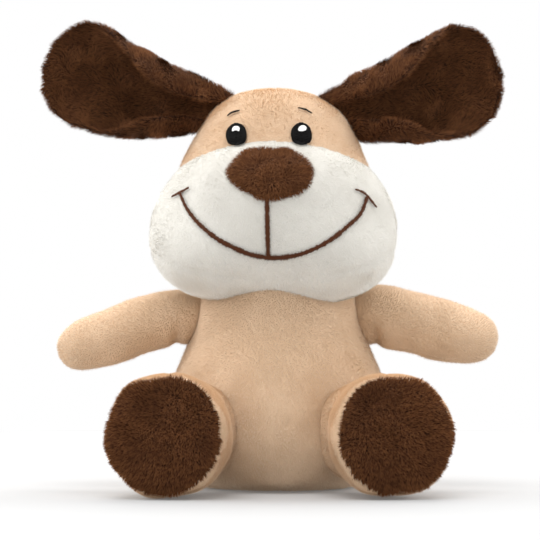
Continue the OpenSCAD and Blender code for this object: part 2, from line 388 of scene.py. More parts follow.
def nap_tree():
    """Grows pile: a tuft is one blade that curves over the way the pile is combed, and tufts
    gather in clumps that differ in height and tone."""
    tree, given = node_group("pile", [
        ("Length", "Float"), ("Width", "Float"), ("Tufts per m2", "Float"), ("Lean", "Float"),
        ("Unevenness", "Float"), ("Clump size", "Float"), ("Segments", "Int"), ("Seed", "Int"),
        ("Material", "Material")])

    def maths(operation, a, b):
        return add(tree, "ShaderNodeMath", {0: a, 1: b}, operation=operation)[0]

    def vectors(operation, inputs):
        return add(tree, "ShaderNodeVectorMath", inputs, operation=operation)[0]

    cone = add(tree, "GeometryNodeMeshCone",
               {"Side Segments": given["Segments"], "Depth": given["Length"], "Vertices": 3,
                "Radius Bottom": maths("MULTIPLY", given["Width"], 0.5), "Radius Top": 0.0},
               fill_type="NONE")
    facing = add(tree, "GeometryNodeInputNormal")
    facing_xyz = add(tree, "ShaderNodeSeparateXYZ", {0: facing[0]})
    under = add(tree, "FunctionNodeCompare", {0: facing_xyz["X"], 1: -0.1},
                data_type="FLOAT", operation="GREATER_THAN")
    blade = add(tree, "GeometryNodeDeleteGeometry",
                {"Geometry": cone["Mesh"], "Selection": under[0]}, domain="FACE")
    spot = add(tree, "GeometryNodeInputPosition")
    spot_xyz = add(tree, "ShaderNodeSeparateXYZ", {0: spot[0]})
    share = maths("DIVIDE", spot_xyz["Z"], given["Length"])
    reach = maths("MULTIPLY", given["Length"], given["Lean"])
    over = maths("MULTIPLY", maths("POWER", share, 1.6), reach)
    bend = add(tree, "ShaderNodeCombineXYZ", {"X": over, "Z": maths("MULTIPLY", over, -0.35)})
    curved = add(tree, "GeometryNodeSetPosition",
                 {"Geometry": blade[0], "Offset": bend[0]})
    graded = add(tree, "GeometryNodeStoreNamedAttribute",
                 {"Geometry": curved[0], "Value": share, "Name": "along"},
                 data_type="FLOAT", domain="POINT")
    tuft = add(tree, "GeometryNodeSetShadeSmooth", {"Geometry": graded[0]})
    density = maths("MULTIPLY", stored(tree, "grows", "FLOAT"), given["Tufts per m2"])
    points = add(tree, "GeometryNodeDistributePointsOnFaces",
                 {"Mesh": given["Geometry"], "Density": density, "Seed": given["Seed"]})
    stray = add(tree, "FunctionNodeRandomValue", {"Seed": given["Seed"], 0: (-1, -1, -1)},
                data_type="FLOAT_VECTOR")
    uneven = vectors("SCALE", {0: stray[0], "Scale": given["Unevenness"]})
    lean = vectors("ADD", {0: stored(tree, "comb", "FLOAT_VECTOR"), 1: uneven})
    tilt = vectors("SCALE", {0: uneven, "Scale": 0.5})
    stand = vectors("ADD", {0: points["Normal"], 1: tilt})
    upright = add(tree, "FunctionNodeAlignRotationToVector", {"Vector": stand}, axis="Z")
    aimed = add(tree, "FunctionNodeAlignRotationToVector",
                {"Rotation": upright[0], "Vector": lean}, axis="X", pivot_axis="Z")
    place = add(tree, "GeometryNodeInputPosition")
    clump = add(tree, "ShaderNodeTexNoise",
                {"Vector": place[0], "Scale": maths("DIVIDE", 1.0, given["Clump size"]),
                 "Detail": 1.0})
    own = add(tree, "FunctionNodeRandomValue", {"Seed": given["Seed"], 2: 0.0, 3: 1.0},
              data_type="FLOAT")
    apart = add(tree, "ShaderNodeMapRange",
                {"Value": clump["Fac"], "From Min": 0.36, "From Max": 0.64})
    both = maths("ADD", apart[0], own[1])
    tall = maths("ADD", maths("MULTIPLY", both, 0.28), 0.66)
    size = add(tree, "ShaderNodeCombineXYZ", {"X": 1.0, "Y": 1.0, "Z": tall})
    toned = add(tree, "GeometryNodeStoreNamedAttribute",
                {"Geometry": points["Points"], "Value": maths("MULTIPLY", both, 0.5),
                 "Name": "tone"}, data_type="FLOAT", domain="POINT")
    placed = add(tree, "GeometryNodeInstanceOnPoints",
                 {"Points": toned[0], "Instance": tuft[0],
                  "Rotation": aimed[0], "Scale": size[0]})
    real = add(tree, "GeometryNodeRealizeInstances", {0: placed[0]})
    joined = tree.nodes.new("GeometryNodeJoinGeometry")
    tree.links.new(given["Geometry"], joined.inputs[0])
    tree.links.new(real[0], joined.inputs[0])
    dyed = add(tree, "GeometryNodeSetMaterial",
               {"Geometry": joined.outputs[0], "Material": given["Material"]})
    add(tree, "NodeGroupOutput", {0: dyed[0]})
    return tree


pile_tree = nap_tree()


def grow_pile(thing, material, length, width, per_mm2, lean, uneven, clump, segments=1):
    run_group(thing, pile_tree, {
        "Length": length * MM, "Width": width * MM, "Tufts per m2": per_mm2 / MM ** 2,
        "Lean": lean, "Unevenness": uneven, "Clump size": clump * MM, "Segments": segments,
        "Seed": sum(map(ord, thing.name)) % 997, "Material": material})


def short_nap(thing, material, per_mm2=5.0):
    """Velboa, the short plush: fine 1 mm pile that leans over."""
    grow_pile(thing, material, 1.1, 0.25, per_mm2, 0.6, 0.34, 2.0)


def cover(piece, node, body):
    """Hides the CAD part that a padded piece stands for and, when a body is given, hangs the
    piece on that body.
    """
    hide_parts(node)
    if body:
        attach(piece, body)


# The short plush is polyester velboa, warp knitted and brushed: matt, with a fine grain.
# Its first colour, at the root, is painted shade deep in the pile.
tan_plush = plush("tan_velboa", "#D2B596", "#F6E7D4", "#ECD3B7", 22, 1.1, 0.8, 0.5)
# Loose hollow polyester fibre, carded: white and fluffy.
fibre_fill = plush("polyester_fibre", "#E4E0D6", "#FBFAF6", "#EFECE4", 6, 1.5, 0.5, 0.2)

BODY_SHAPE = [(0, 31.0), (2.5, 36.5), (8, 42.0), (17, 46.2), (28, 47.4), (40, 46.0), (50, 43.4),
              (60, 39.8), (70, 36.2), (80, 33.2), (90, 29.5), (96, 22.0)]
heights = np.concatenate([np.linspace(0, 20, 14), np.linspace(22, 96, 38)])
girths = through(BODY_SHAPE, heights)[:, 0]
SEAM_ASIDE = 0.8
SEAT_RADIUS = 34
FAR = 99
NAP_ROOM = 0.8
body_form = loft("body_form", [(SEAM_ASIDE, 0, h) for h in heights],
                 [(g - NAP_ROOM, g - NAP_ROOM) for g in girths], sides=72)


def body_seams(p):
    upright = np.minimum(abs(p[:, 0] - SEAM_ASIDE), abs(p[:, 1]))
    girth = np.hypot(p[:, 0], p[:, 1])
    seat = np.hypot(np.maximum(p[:, 2] - 1.5, 0), girth - SEAT_RADIUS)
    return np.minimum(np.where(girth > 20, upright, FAR), seat)


def body_folds(p):
    """Soft dents where the fabric is pulled by the arms and pushed by the legs."""
    dent = np.zeros(len(p))
    for side in (LEFT, RIGHT):
        armpit = np.linalg.norm((p - np.array([side * 36, -8, 60])) / [9, 14, 12], axis=1)
        groin = np.linalg.norm((p - np.array([side * 20, -42, 34])) / [10, 12, 16], axis=1)
        dent += 1.5 * np.exp(-armpit ** 2) + 1.6 * np.exp(-groin ** 2)
    return dent


def body_part(m):
    seat = (m[:, 2] < 1.0) & (np.hypot(m[:, 0], m[:, 1]) < SEAT_RADIUS)
    return np.where(seat, 4, np.where(m[:, 1] < 0, 0, 2) + (m[:, 0] < SEAM_ASIDE))


stuffed(body_form, body_seams, 3.6, 1.2, 1)
shape = places(body_form)
# The front seam hardly shows, except low on the belly.
front_depth = 0.02 + 0.25 * (shape[:, 2] < 25)
pressed(body_form, body_seams, np.where(shape[:, 1] < 0, front_depth, 0.6))
shape = places(body_form)
sink = body_folds(shape) + 0.35 * ripple(shape, 38, 3)
move_to(body_form, shape - normals(body_form) * sink[:, None])
settled(body_form)
body_fill = filling(body_form, "body_stuffing_fibre", 2.2)
body_nodes = ["front_panel_left", "front_panel_right", "back_panel_left", "back_panel_right",
              "seat_gusset"]
body_panels = panels(body_form, [node + "_plush" for node in body_nodes], body_part)
for piece, node in zip(body_panels, body_nodes):
    combed(piece, lambda p: waves(p, (0, 0.35, 30, 5), STILL, (-1, 0.3, 24, 6)))
    short_nap(piece, tan_plush, 1.2 if node == "seat_gusset" else 5.0)
    if node == "seat_gusset":
        settled(piece)
    cover(piece, node, "body")
cover(body_fill, "body_stuffing", "body")
bpy.data.objects.remove(body_form)


# ---- Neck ----------------------------------------------------------------------------
# A ball of fibre packed hard where the head is sewn onto the body. It fills the top of the
# body and the head turns on it, so nothing of it shows from outside.
def ball(name, centre, radii):
    """A closed ball with slight lumps."""
    points, faces = [], []
    rows, columns = 24, 36
    for i in range(1, rows):
        t = math.pi * i / rows
        for k in range(columns):
            u = 2 * math.pi * k / columns
            points.append((math.sin(t) * math.cos(u), math.sin(t) * math.sin(u), math.cos(t)))
    points += [(0, 0, 1), (0, 0, -1)]
    top, bottom = len(points) - 2, len(points) - 1
    for k in range(columns):
        k2 = (k + 1) % columns
        faces.append((top, k, k2))
        for i in range(rows - 2):
            a, b = i * columns + k, i * columns + k2
            faces.append((a, a + columns, b + columns, b))
        faces.append((bottom, (rows - 2) * columns + k2, (rows - 2) * columns + k))
    points = np.array(points)
    points *= 1 + 0.02 * ripple(points, 0.9, 2)[:, None]
    thing = made(name, np.array(centre) + points * np.array(radii), faces)
    smooth_shaded(thing)
    return thing


NECK_RADIUS = 19.5
neck_fill = ball("neck_stuffing_fibre", pivot["neck_turn"], [NECK_RADIUS] * 3)
neck_fill.data.materials.append(fibre_fill)
cover(neck_fill, "neck_stuffing", "neck")


# ---- Pellet pouch --------------------------------------------------------------------
# A small cloth bag of plastic pellets in the bottom of the body, which keeps the toy sitting.
# It lies flat under the fibre, sewn shut at its edge.
def plain(name, colour, **values):
    """A material of one colour, with these values of its shader."""
    material = bpy.data.materials.new(name)
    material.use_nodes = True
    shader = material.node_tree.nodes["Principled BSDF"].inputs
    shader["Base Color"].default_value = colour
    for socket, value in values.items():
        shader[socket.replace("_", " ")].default_value = value
    return material


# Unbleached woven cotton: matt and plain.
pouch_cloth = plain("pouch_cotton", linear("#DAD5C8"), Roughness=0.9, Specular_IOR_Level=0.2)
pouch_low, pouch_high = [np.array(c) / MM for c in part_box("pellet_pouch")]
pouch = ball("pellet_pouch_bag", (pouch_low + pouch_high) / 2,
             (pouch_high - pouch_low) / 2 * [0.88, 0.88, 0.9])
pouch.data.materials.append(pouch_cloth)
cover(pouch, "pellet_pouch", "body")


# ---- Legs ----------------------------------------------------------------------------
# Each leg is a short fat tube of tan plush in two halves, with a round sole of long brown pile
# sewn into its end. The pile of the sole stands over the seam like a fringe.
SOLE_RADIUS = 22.3
SOLE_ASIDE = 1.2
LEG_SHAPE = [(-9, 12.0), (-4, 17.5), (2, 20.4), (10, 22.6), (20, 24.2), (30, 24.6), (36, 24.4),
             (39.3, 23.6), (40.5, 21.8)]
LIMB_ROOM = 0.6
SPLAY = math.radians(6)
LEG_BEND = {LEFT: 8.8, RIGHT: 6.4}
# Longer polyester pile, knitted, dyed brown and brushed soft. Its dark root colour is painted
# shade deep in the pile; the tips are brown.
brown_pile = plush("brown_long_pile", "#231108", "#9C653E", "#54321D", 12, 1.6, 0.9, 0.35)


def long_pile(thing, per_mm2=6.0, lean=0.85):
    """Long soft pile that gathers in small clumps."""
    grow_pile(thing, brown_pile, 2.2, 0.42, per_mm2, lean, 0.42, 1.4, 2)


for side, name in ((LEFT, "left"), (RIGHT, "right")):
    hip = np.array(pivot[name + "_hip"])
    ahead = np.array([side * math.sin(SPLAY), -math.cos(SPLAY), 0.0])
    across = np.array([ahead[1], -ahead[0], 0.0])
    stations = np.concatenate([np.linspace(-9, 36, 24), np.linspace(37, 40.5, 7)])
    girth = through(LEG_SHAPE, stations)[:, 0]
    leg = loft("leg_form", [hip + ahead * s for s in stations],
               [(g - LIMB_ROOM, g - LIMB_ROOM) for g in girth], 2.12, 64)

    def along_leg(p):
        """How far along the leg, how far aside and above its middle."""
        rel = p - hip
        return rel @ ahead, rel @ across, rel[:, 2]

    def from_sole(u, v):
        """Distance from the middle of the sole, which sits a little off the leg's own."""
        return np.hypot(u + SOLE_ASIDE * side, (v - 0.7) * 0.97)

    def leg_seams(p):
        s, u, v = along_leg(p)
        rim = np.hypot(s - 39.6, from_sole(u, v) - SOLE_RADIUS)
        return np.minimum(np.where(s < 38, abs(u), FAR), rim)

    stuffed(leg, leg_seams, 3.2, 1.0, 1)
    shape = places(leg)
    s, u, v = along_leg(shape)
    r = np.hypot(u, v)
    dome = 1.6 * np.clip(1 - (r / SOLE_RADIUS) ** 2, 0, 1) * (s > 37)
    corner = 0.5 * np.cos(6 * np.arctan2(v, u) + (0.4 if side == LEFT else 1.0))
    lumps = 0.3 * ripple(shape, 26, 7 + side) + corner * np.clip((s - 20) / 15, 0, 1)
    radial = (np.outer(u, across) + np.outer(v, [0, 0, 1.0])) / np.maximum(r, 1)[:, None]
    move_to(leg, shape + np.outer(dome, ahead) + radial * lumps[:, None])
    pressed(leg, leg_seams, 0.55)
    settled(leg)
    leg_fill = filling(leg, name + "_leg_fibre", 2.2)

    def leg_part(m):
        s, u, v = along_leg(m)
        sole = (s > 37.6) & (from_sole(u, v) < SOLE_RADIUS + 0.3)
        return np.where(sole, 2, np.where(u * side > 0, 0, 1))

    inner, outer, sole = panels(leg, [name + "_leg_inner_plush", name + "_leg_outer_plush",
                                      name + "_sole_pile"], leg_part)
    for thing in (inner, outer, sole, leg_fill):
        bent = places(thing)
        u = np.clip((along_leg(bent)[0] + 3) / 18, 0, 1)
        bent[:, 0] += side * LEG_BEND[side] * u * u * (3 - 2 * u)
        move_to(thing, bent)
    for piece, node in ((inner, "_leg_inner"), (outer, "_leg_outer")):
        combed(piece, lambda p: ahead + waves(p, (0, 0.4, 20, 8), STILL, (0, 0.4, 22, 9)))
        short_nap(piece, tan_plush)
        settled(piece)
        cover(piece, name + node, None)
        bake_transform(piece)
    combed(sole, lambda p: waves(p, (0, 0.4, 14, 11), STILL, (-0.4, 0.4, 12, 12))
           + (p - hip - ahead * 40) / 26)
    long_pile(sole, 8.0, 0.4)
    settled(sole)
    cover(sole, name + "_sole", name + "_leg")
    cover(leg_fill, name + "_leg_stuffing", name + "_leg")
    bpy.data.objects.remove(leg)


# ---- Arms ----------------------------------------------------------------------------
# Each arm is a curved tan tube, a front and a back half sewn round the edge, stuffed softly
# and held out a little below level. The seam runs along the lower front.
ARM_SHAPE = {
    LEFT: [(28, 70.5, 11.0), (36, 71.6, 13.2), (46, 71.2, 14.0), (56.5, 69.2, 13.9),
           (65.5, 66.7, 13.8), (75, 64.4, 13.3), (84, 62.6, 11.6), (89.5, 61.8, 8.8),
           (92.8, 61.4, 4.6)],
    RIGHT: [(28, 72.5, 10.0), (36, 71.5, 12.0), (50.8, 69.4, 12.6), (61.7, 65.9, 12.7),
            (72.2, 61.7, 12.3), (81.9, 58.7, 11.1), (88, 57.3, 8.6), (91.8, 56.8, 4.4)],
}


def arm_forward(shoulder, out):
    """The y of the arm's middle line at a distance out: the arm curves forward."""
    t = np.clip((out - 34) / 50, 0, 1)
    return shoulder[1] - 4.0 * t - 3.0 * t ** 2


for side, name in ((LEFT, "left"), (RIGHT, "right")):
    shoulder = np.array(pivot[name + "_shoulder"])
    outs = np.linspace(ARM_SHAPE[side][0][0], ARM_SHAPE[side][-1][0], 44)
    spine = through(ARM_SHAPE[side], outs)
    middle_line = np.column_stack([side * outs, arm_forward(shoulder, outs), spine[:, 0]])
    arm = loft("arm_form", middle_line,
               [(g * 0.98 - LIMB_ROOM, g - LIMB_ROOM) for g in spine[:, 1]], 2.0, 48)

    def behind_seam(p):
        """How far behind the sloping seam a point lies, which runs along the lower front."""
        middle = through([(a, b) for a, b, c in ARM_SHAPE[side]], abs(p[:, 0]))[:, 0]
        return p[:, 1] - arm_forward(shoulder, abs(p[:, 0])) - 0.42 * (p[:, 2] - middle)

    def arm_seams(p):
        return abs(behind_seam(p))

    def armpit(p):
        """The cloth is drawn in where the arm is sewn to the body."""
        crease = np.exp(-((abs(p[:, 0]) - 40.5 - 0.12 * (70 - p[:, 2])) / 2.4) ** 2)
        return 1.7 * crease * np.clip((72 - p[:, 2]) / 10, 0, 1) + 0.3 * ripple(p, 24, 15 + side)

    stuffed(arm, arm_seams, 3.0, 1.0, 1)
    pressed(arm, arm_seams, 0.5)
    shape = places(arm)
    move_to(arm, shape - normals(arm) * armpit(shape)[:, None])
    arm_fill = filling(arm, name + "_arm_fibre", 2.0)

    halves = panels(arm, [name + "_arm_front_plush", name + "_arm_back_plush"],
                    lambda m: (behind_seam(m) > 0).astype(int))
    for piece, node in zip(halves, ("_arm_front", "_arm_back")):
        combed(piece, lambda p: waves(p, (side, 0, 1, 0), STILL, (-0.2, 0.5, 20, 16)))
        short_nap(piece, tan_plush)
        cover(piece, name + node, None)
    cover(arm_fill, name + "_arm_stuffing", None)
    for piece in halves + [arm_fill]:
        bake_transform(piece)
    bpy.data.objects.remove(arm)


# ---- Tail ----------------------------------------------------------------------------
# A short stuffed tail of the same tan plush, turned and sewn into the centre back seam low
# down, where it points up and back.
tail_pivot = np.array(pivot["tail_wag"])
TAIL_SHAPE = [(-9, 6.0), (0, 6.3), (8, 7.8), (16, 9.0), (22, 8.6), (27, 6.4), (29.4, 3.0)]
TAIL_LIFT = math.radians(35)
steps = np.linspace(-9, 29.4, 30)
tail_way = np.array([0, math.cos(TAIL_LIFT), math.sin(TAIL_LIFT)])
tail = loft("tail_form", [tail_pivot + tail_way * s + [0, 0, 0.004 * s * s] for s in steps],
            [(g - LIMB_ROOM, g - LIMB_ROOM) for g in through(TAIL_SHAPE, steps)[:, 0]], 2.0, 40)


def tail_seam(p):
    return np.where(p[:, 2] < tail_pivot[2] + (p[:, 1] - tail_pivot[1]) * 0.7, abs(p[:, 0]), FAR)


stuffed(tail, tail_seam, 2.4, 0.8, 1)
pressed(tail, tail_seam, 0.5, 1.0)
tail_fill = filling(tail, "tail_fibre", 1.8)
tail_plush = panels(tail, ["tail_plush"], lambda m: np.zeros(len(m), int))[0]
combed(tail_plush, lambda p: np.tile(tail_way, (len(p), 1)))
short_nap(tail_plush, tan_plush)
for piece, node, dye in ((tail_plush, "tail_cover", "tan_plush"),
                         (tail_fill, "tail_stuffing", "fibre_filling")):
    cover(piece, node, None)
    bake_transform(piece)
bpy.data.objects.remove(tail)


# ---- Head ----------------------------------------------------------------------------
# The head is five panels: a tan forehead, two tan halves behind, a white muzzle and a white
# chin. Hard stuffing swells the muzzle into two cheeks; a notch shows under the chin.
HEAD_TURN = math.radians(-3)
SKULL_LUMPS = [((0, 1, 129.5), (36.6, 37.0, 38.0), 2.3), ((0, -14, 109.3), (49.4, 32, 27.6), 2.2),
               ((0, -22, 124), (32, 24, 18), 2.0), ((23, -20, 96.4), (22.5, 24, 17.4), 2.0),
               ((-24, -20, 96.4), (22.5, 24, 17.4), 2.0)]
FACE_BLEND = 5.0
ARCH_TOP, ARCH_FALL = 142.4, 0.00614
WHITE_BACK = 8.0
# The same short velboa as the tan, undyed.
# Its first colour, at the root, is painted shade deep in the pile.
white_plush = plush("white_velboa", "#DCD9D2", "#F4F3EF", "#EDEBE5", 20, 1.1, 0.7, 0.35)


def turned(p, angle):
    """Points turned about the vertical through the neck."""
    c, s = math.cos(angle), math.sin(angle)
    return np.column_stack([p[:, 0] * c - p[:, 1] * s, p[:, 0] * s + p[:, 1] * c, p[:, 2]])


def head_field(p):
    total = np.zeros(len(p))
    for centre, radii, power in SKULL_LUMPS:
        q = abs(p - np.array(centre)) / np.array(radii)
        apart = ((q ** power).sum(1) ** (1 / power) - 1) * min(radii)
        total += np.exp(-apart / FACE_BLEND)
    return -FACE_BLEND * np.log(total)


def head_surface():
    sphere = bmesh.new()
    bmesh.ops.create_icosphere(sphere, subdivisions=6, radius=1)
    ways = np.array([v.co for v in sphere.verts])
    faces = [tuple(v.index for v in f.verts) for f in sphere.faces]
    sphere.free()
    centre = np.array([0, -8, 114.0])
    near, far = np.zeros(len(ways)), np.full(len(ways), 90.0)
    for _ in range(22):
        middle = (near + far) / 2
        inside = head_field(centre + ways * middle[:, None]) < -0.6
        near, far = np.where(inside, middle, near), np.where(inside, far, middle)
    return centre + ways * near[:, None], faces


def arch_line(x):
    return ARCH_TOP - ARCH_FALL * x * x


def chin_line(x):
    return 86.8 + 0.0022 * x * x + 1e-6 * x ** 4


def white_edge(z):
    """How far back the white plush reaches at each height: its upper corner is rounded off."""
    return WHITE_BACK - 12 * np.clip((z - 104) / 30, 0, 1) ** 2


def head_seams(p):
    """Distance from the nearest seam, in the head's own direction."""
    q = turned(p, -HEAD_TURN)
    x, y, z = q.T
    ahead = y < white_edge(z)
    slope = 2 * ARCH_FALL * x
    arch = np.where(ahead, abs(z - arch_line(x)) / np.sqrt(1 + slope ** 2), FAR)
    chin = np.where(ahead, abs(z - chin_line(x)), FAR)
    low = z < arch_line(x)
    side = np.where(low, abs(y - white_edge(z)), np.where(x * x > 100, abs(y), FAR))
    back = np.where(y > white_edge(z), abs(x), FAR)
    return np.minimum(np.minimum(arch, chin), np.minimum(side, back))


head_points, head_faces = head_surface()
head = made("head_form", turned(head_points, HEAD_TURN), head_faces)
stuffed(head, head_seams, 3.4, 1.0, 2)
pressed(head, head_seams, 0.45, 1.2)
shape = places(head)
move_to(head, shape + normals(head) * (0.3 * ripple(shape, 34, 21))[:, None])
head_fill = filling(head, "head_stuffing_fibre", 2.2)
face_tree = BVHTree.FromPolygons(places(head).tolist(),
                                 [tuple(p.vertices) for p in head.data.polygons])


def face_y(x, z):
    """The face's y at a place seen from the front, and the way it faces there."""
    hit = face_tree.ray_cast(Vector((x, -120, z)), Vector((0, 1, 0)))
    return hit[0].y, hit[1]


def head_part(m):
    x, y, z = turned(m, -HEAD_TURN).T
    white = (y < white_edge(z)) & (z < arch_line(x))
    return np.where(white, np.where(z > chin_line(x), 3, 4),
                    np.where(y < 0, 0, np.where(x > 0, 1, 2)))


head_panels = panels(head, ["forehead_plush", "head_back_left_plush", "head_back_right_plush",
                            "muzzle_plush", "chin_plush"], head_part)
for piece, node, dye, cloth in zip(
        head_panels, ("forehead_panel", "head_back_left", "head_back_right", "muzzle_panel",
                      "chin_panel"), ["tan_plush"] * 3 + ["white_plush"] * 2,
        [tan_plush] * 3 + [white_plush] * 2):
    combed(piece, lambda p: waves(p, (0, 0.4, 26, 23), (0, 0.2, 20, 24), (-1, 0.4, 22, 25)))
    short_nap(piece, cloth)
    cover(piece, node, "head")
cover(head_fill, "head_stuffing", "head")
bpy.data.objects.remove(head)


# ---- Nose ----------------------------------------------------------------------------
# A rounded triangle of the long brown pile, sewn on over a little stuffing above the mouth,
# with a small dip in the middle of its upper edge.
NOSE_EDGE = [(-11.9, 139.2), (-7.5, 139.9), (-3.4, 139.7), (-1.3, 138.9), (1.2, 139.4),
             (4.8, 139.3), (9.3, 137.2), (13.2, 133.6), (14.9, 129.3), (13.5, 124.2),
             (8.6, 121.0), (0.0, 118.4), (-6.3, 118.7), (-13.8, 122.6), (-18.9, 126.9),
             (-19.8, 130.7), (-16.8, 135.2)]
NOSE_RISE = 3.4


def round_edge(corners, count):
    """A closed smooth curve through corners, at even steps."""
    corners = np.array(corners, float)
    out = []
    for i in range(len(corners)):
        a, b, c, d = (corners[(i + k) % len(corners)] for k in (-1, 0, 1, 2))
        for t in np.linspace(0, 1, 12, endpoint=False):
            out.append(0.5 * (2 * b + (c - a) * t + (2 * a - 5 * b + 4 * c - d) * t * t
                              + (3 * b - a - 3 * c + d) * t ** 3))
    out = np.array(out)
    gaps = np.linalg.norm(np.roll(out, -1, 0) - out, axis=1)
    walked = np.concatenate([[0], np.cumsum(gaps)])
    closed = np.vstack([out, out[:1]])
    steps = np.linspace(0, walked[-1], count, endpoint=False)
    return np.column_stack([np.interp(steps, walked, closed[:, k]) for k in (0, 1)])


edge = round_edge(np.array(NOSE_EDGE) * [0.955, 0.95] + [-0.1, 6.0], 84)
nose_middle = edge.mean(0)
nose_points, nose_faces = [], []
NOSE_SUNK = 1.2
RINGS = 14
per_ring = len(edge)
per_layer = RINGS * per_ring + 1
for layer in (0, 1):
    for ring in range(1, RINGS + 1):
        share = ring / RINGS
        rise = -NOSE_SUNK if layer else NOSE_RISE * (1 - share ** 2.6) ** 0.6 - 0.3
        for x, z in nose_middle + (edge - nose_middle) * share:
            nose_points.append((x, face_y(x, z)[0] - rise, z))
    rise = -NOSE_SUNK if layer else NOSE_RISE - 0.3
    nose_points.append((nose_middle[0], face_y(*nose_middle)[0] - rise, nose_middle[1]))
for base, way in ((0, 1), (per_layer, -1)):
    for k in range(per_ring):
        a, b = base + k, base + (k + 1) % per_ring
        nose_faces.append((base + per_layer - 1, b, a)[::way])
        for ring in range(0, per_layer - 1 - per_ring, per_ring):
            quad = (a + ring, b + ring, b + ring + per_ring, a + ring + per_ring)
            nose_faces.append(quad[::way])
rim = per_layer - 1 - per_ring
for k in range(per_ring):
    a, b = rim + k, rim + (k + 1) % per_ring
    nose_faces.append((a, b, per_layer + b, per_layer + a))
nose = made("nose_pile", nose_points, nose_faces)
face_outward(nose)
growing(nose, [float(p.normal.y < -0.05) for p in nose.data.polygons])
smooth_shaded(nose)
combed(nose, lambda p: np.column_stack([(p[:, 0] - nose_middle[0]) / 12, 0 * p[:, 0],
                                        (p[:, 2] - nose_middle[1]) / 9])
       + waves(p, (0, 0.7, 9, 31), STILL, (0, 0.7, 8, 32)))
grow_pile(nose, brown_pile, 2.3, 0.42, 8.5, 0.6, 0.8, 1.3, 2)
cover(nose, "nose", "head")


# ---- Embroidery ----------------------------------------------------------------------
# The eyes, eyebrows, smile and dimples are machine satin stitch in rayon thread, laid close
# across each line, with a white highlight sewn over each eye.
def thread(name, colour):
    """Rayon thread, spun and dyed: smooth, with only a faint shine."""
    return plain(name, linear(colour), Roughness=0.6, IOR=1.5, Specular_IOR_Level=0.06,
                 Sheen_Weight=0.02)


THREADS = {
    "black_thread": thread("black_rayon_thread", "#060505"),
    "brown_thread": thread("brown_rayon_thread", "#52301F"),
    "white_thread": plain("white_rayon_thread", linear("#F6F5F2"), Roughness=0.5, IOR=1.5,
                          Specular_IOR_Level=0.06, Sheen_Weight=0.02),
}


def stitch_tree():
    """Lays one rounded stitch on each point, along its side vector, as long as it says."""
    tree, given = node_group("stitches", [("Width", "Float"), ("Material", "Material")])
    bead = add(tree, "GeometryNodeMeshUVSphere", {"Segments": 8, "Rings": 6, "Radius": 0.5})
    turn = add(tree, "FunctionNodeAlignRotationToVector",
               {"Vector": stored(tree, "lie", "FLOAT_VECTOR")}, axis="Z")
    roll = add(tree, "FunctionNodeAlignRotationToVector",
               {"Rotation": turn[0], "Vector": stored(tree, "out", "FLOAT_VECTOR")},
               axis="X", pivot_axis="Z")
    size = add(tree, "ShaderNodeCombineXYZ", {"X": given["Width"], "Y": given["Width"],
                                              "Z": stored(tree, "long", "FLOAT")})
    laid = add(tree, "GeometryNodeInstanceOnPoints",
               {"Points": given["Geometry"], "Instance": bead["Mesh"],
                "Rotation": roll[0], "Scale": size[0]})
    real = add(tree, "GeometryNodeRealizeInstances", {0: laid[0]})
    soft = add(tree, "GeometryNodeSetShadeSmooth", {"Geometry": real[0]})
    dyed = add(tree, "GeometryNodeSetMaterial",
               {"Geometry": soft[0], "Material": given["Material"]})
    add(tree, "NodeGroupOutput", {0: dyed[0]})
    return tree


satin_tree = stitch_tree()


def satin(node, dye, ends, width, proud=0.95, name=None):
    """Satin stitches between pairs of (x, z) ends, standing proud of the face."""
    centres, lies, outs, longs = [], [], [], []
    for (x0, z0), (x1, z1) in ends:
        a = Vector((x0, face_y(x0, z0)[0], z0))
        b = Vector((x1, face_y(x1, z1)[0], z1))
        x, z = (x0 + x1) / 2, (z0 + z1) / 2
        y, out = face_y(x, z)
        centres.append(Vector((x, y, z)) + out * proud)
        lies.append((b - a).normalized())
        outs.append(out)
        longs.append((b - a).length + width * 0.6)
    piece = made(name or node + "_stitches", centres, [])
    for label, values in (("lie", lies), ("out", outs)):
        held = piece.data.attributes.new(label, "FLOAT_VECTOR", "POINT")
        held.data.foreach_set("vector", np.array(values).ravel())
    held = piece.data.attributes.new("long", "FLOAT", "POINT")
    held.data.foreach_set("value", np.array(longs) * MM)
    run_group(piece, satin_tree, {"Width": width * MM, "Material": THREADS[dye]})
    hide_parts(node)
    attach(piece, "head")


def line_ends(corners, widths, pitch=0.33, slant=0.3):
    """Ends of the stitches that cover a line of changing width, lying across it."""
    corners = np.array(corners, float)
    steps = np.arange(len(corners))
    fine = np.linspace(0, len(corners) - 1, 60 * (len(corners) - 1))
    line = np.column_stack([through(list(zip(steps, corners[:, k])), fine)[:, 0] for k in (0, 1)])
    walked = np.concatenate([[0], np.cumsum(np.linalg.norm(np.diff(line, axis=0), axis=1))])
    places_on = np.arange(pitch / 2, walked[-1], pitch)
    x, z = (np.interp(places_on, walked, line[:, k]) for k in (0, 1))
    tangent = np.column_stack([np.gradient(x), np.gradient(z)])
    tangent /= np.linalg.norm(tangent, axis=1)[:, None]
    side = np.column_stack([-tangent[:, 1], tangent[:, 0]]) + slant * tangent
    half = np.interp(places_on / walked[-1], np.linspace(0, 1, len(widths)), widths) / 2
    half *= np.random.default_rng(len(half)).uniform(0.62, 1.3, len(half))
    return [((a - s[0] * h, b - s[1] * h), (a + s[0] * h, b + s[1] * h))
            for a, b, s, h in zip(x, z, side, half)]


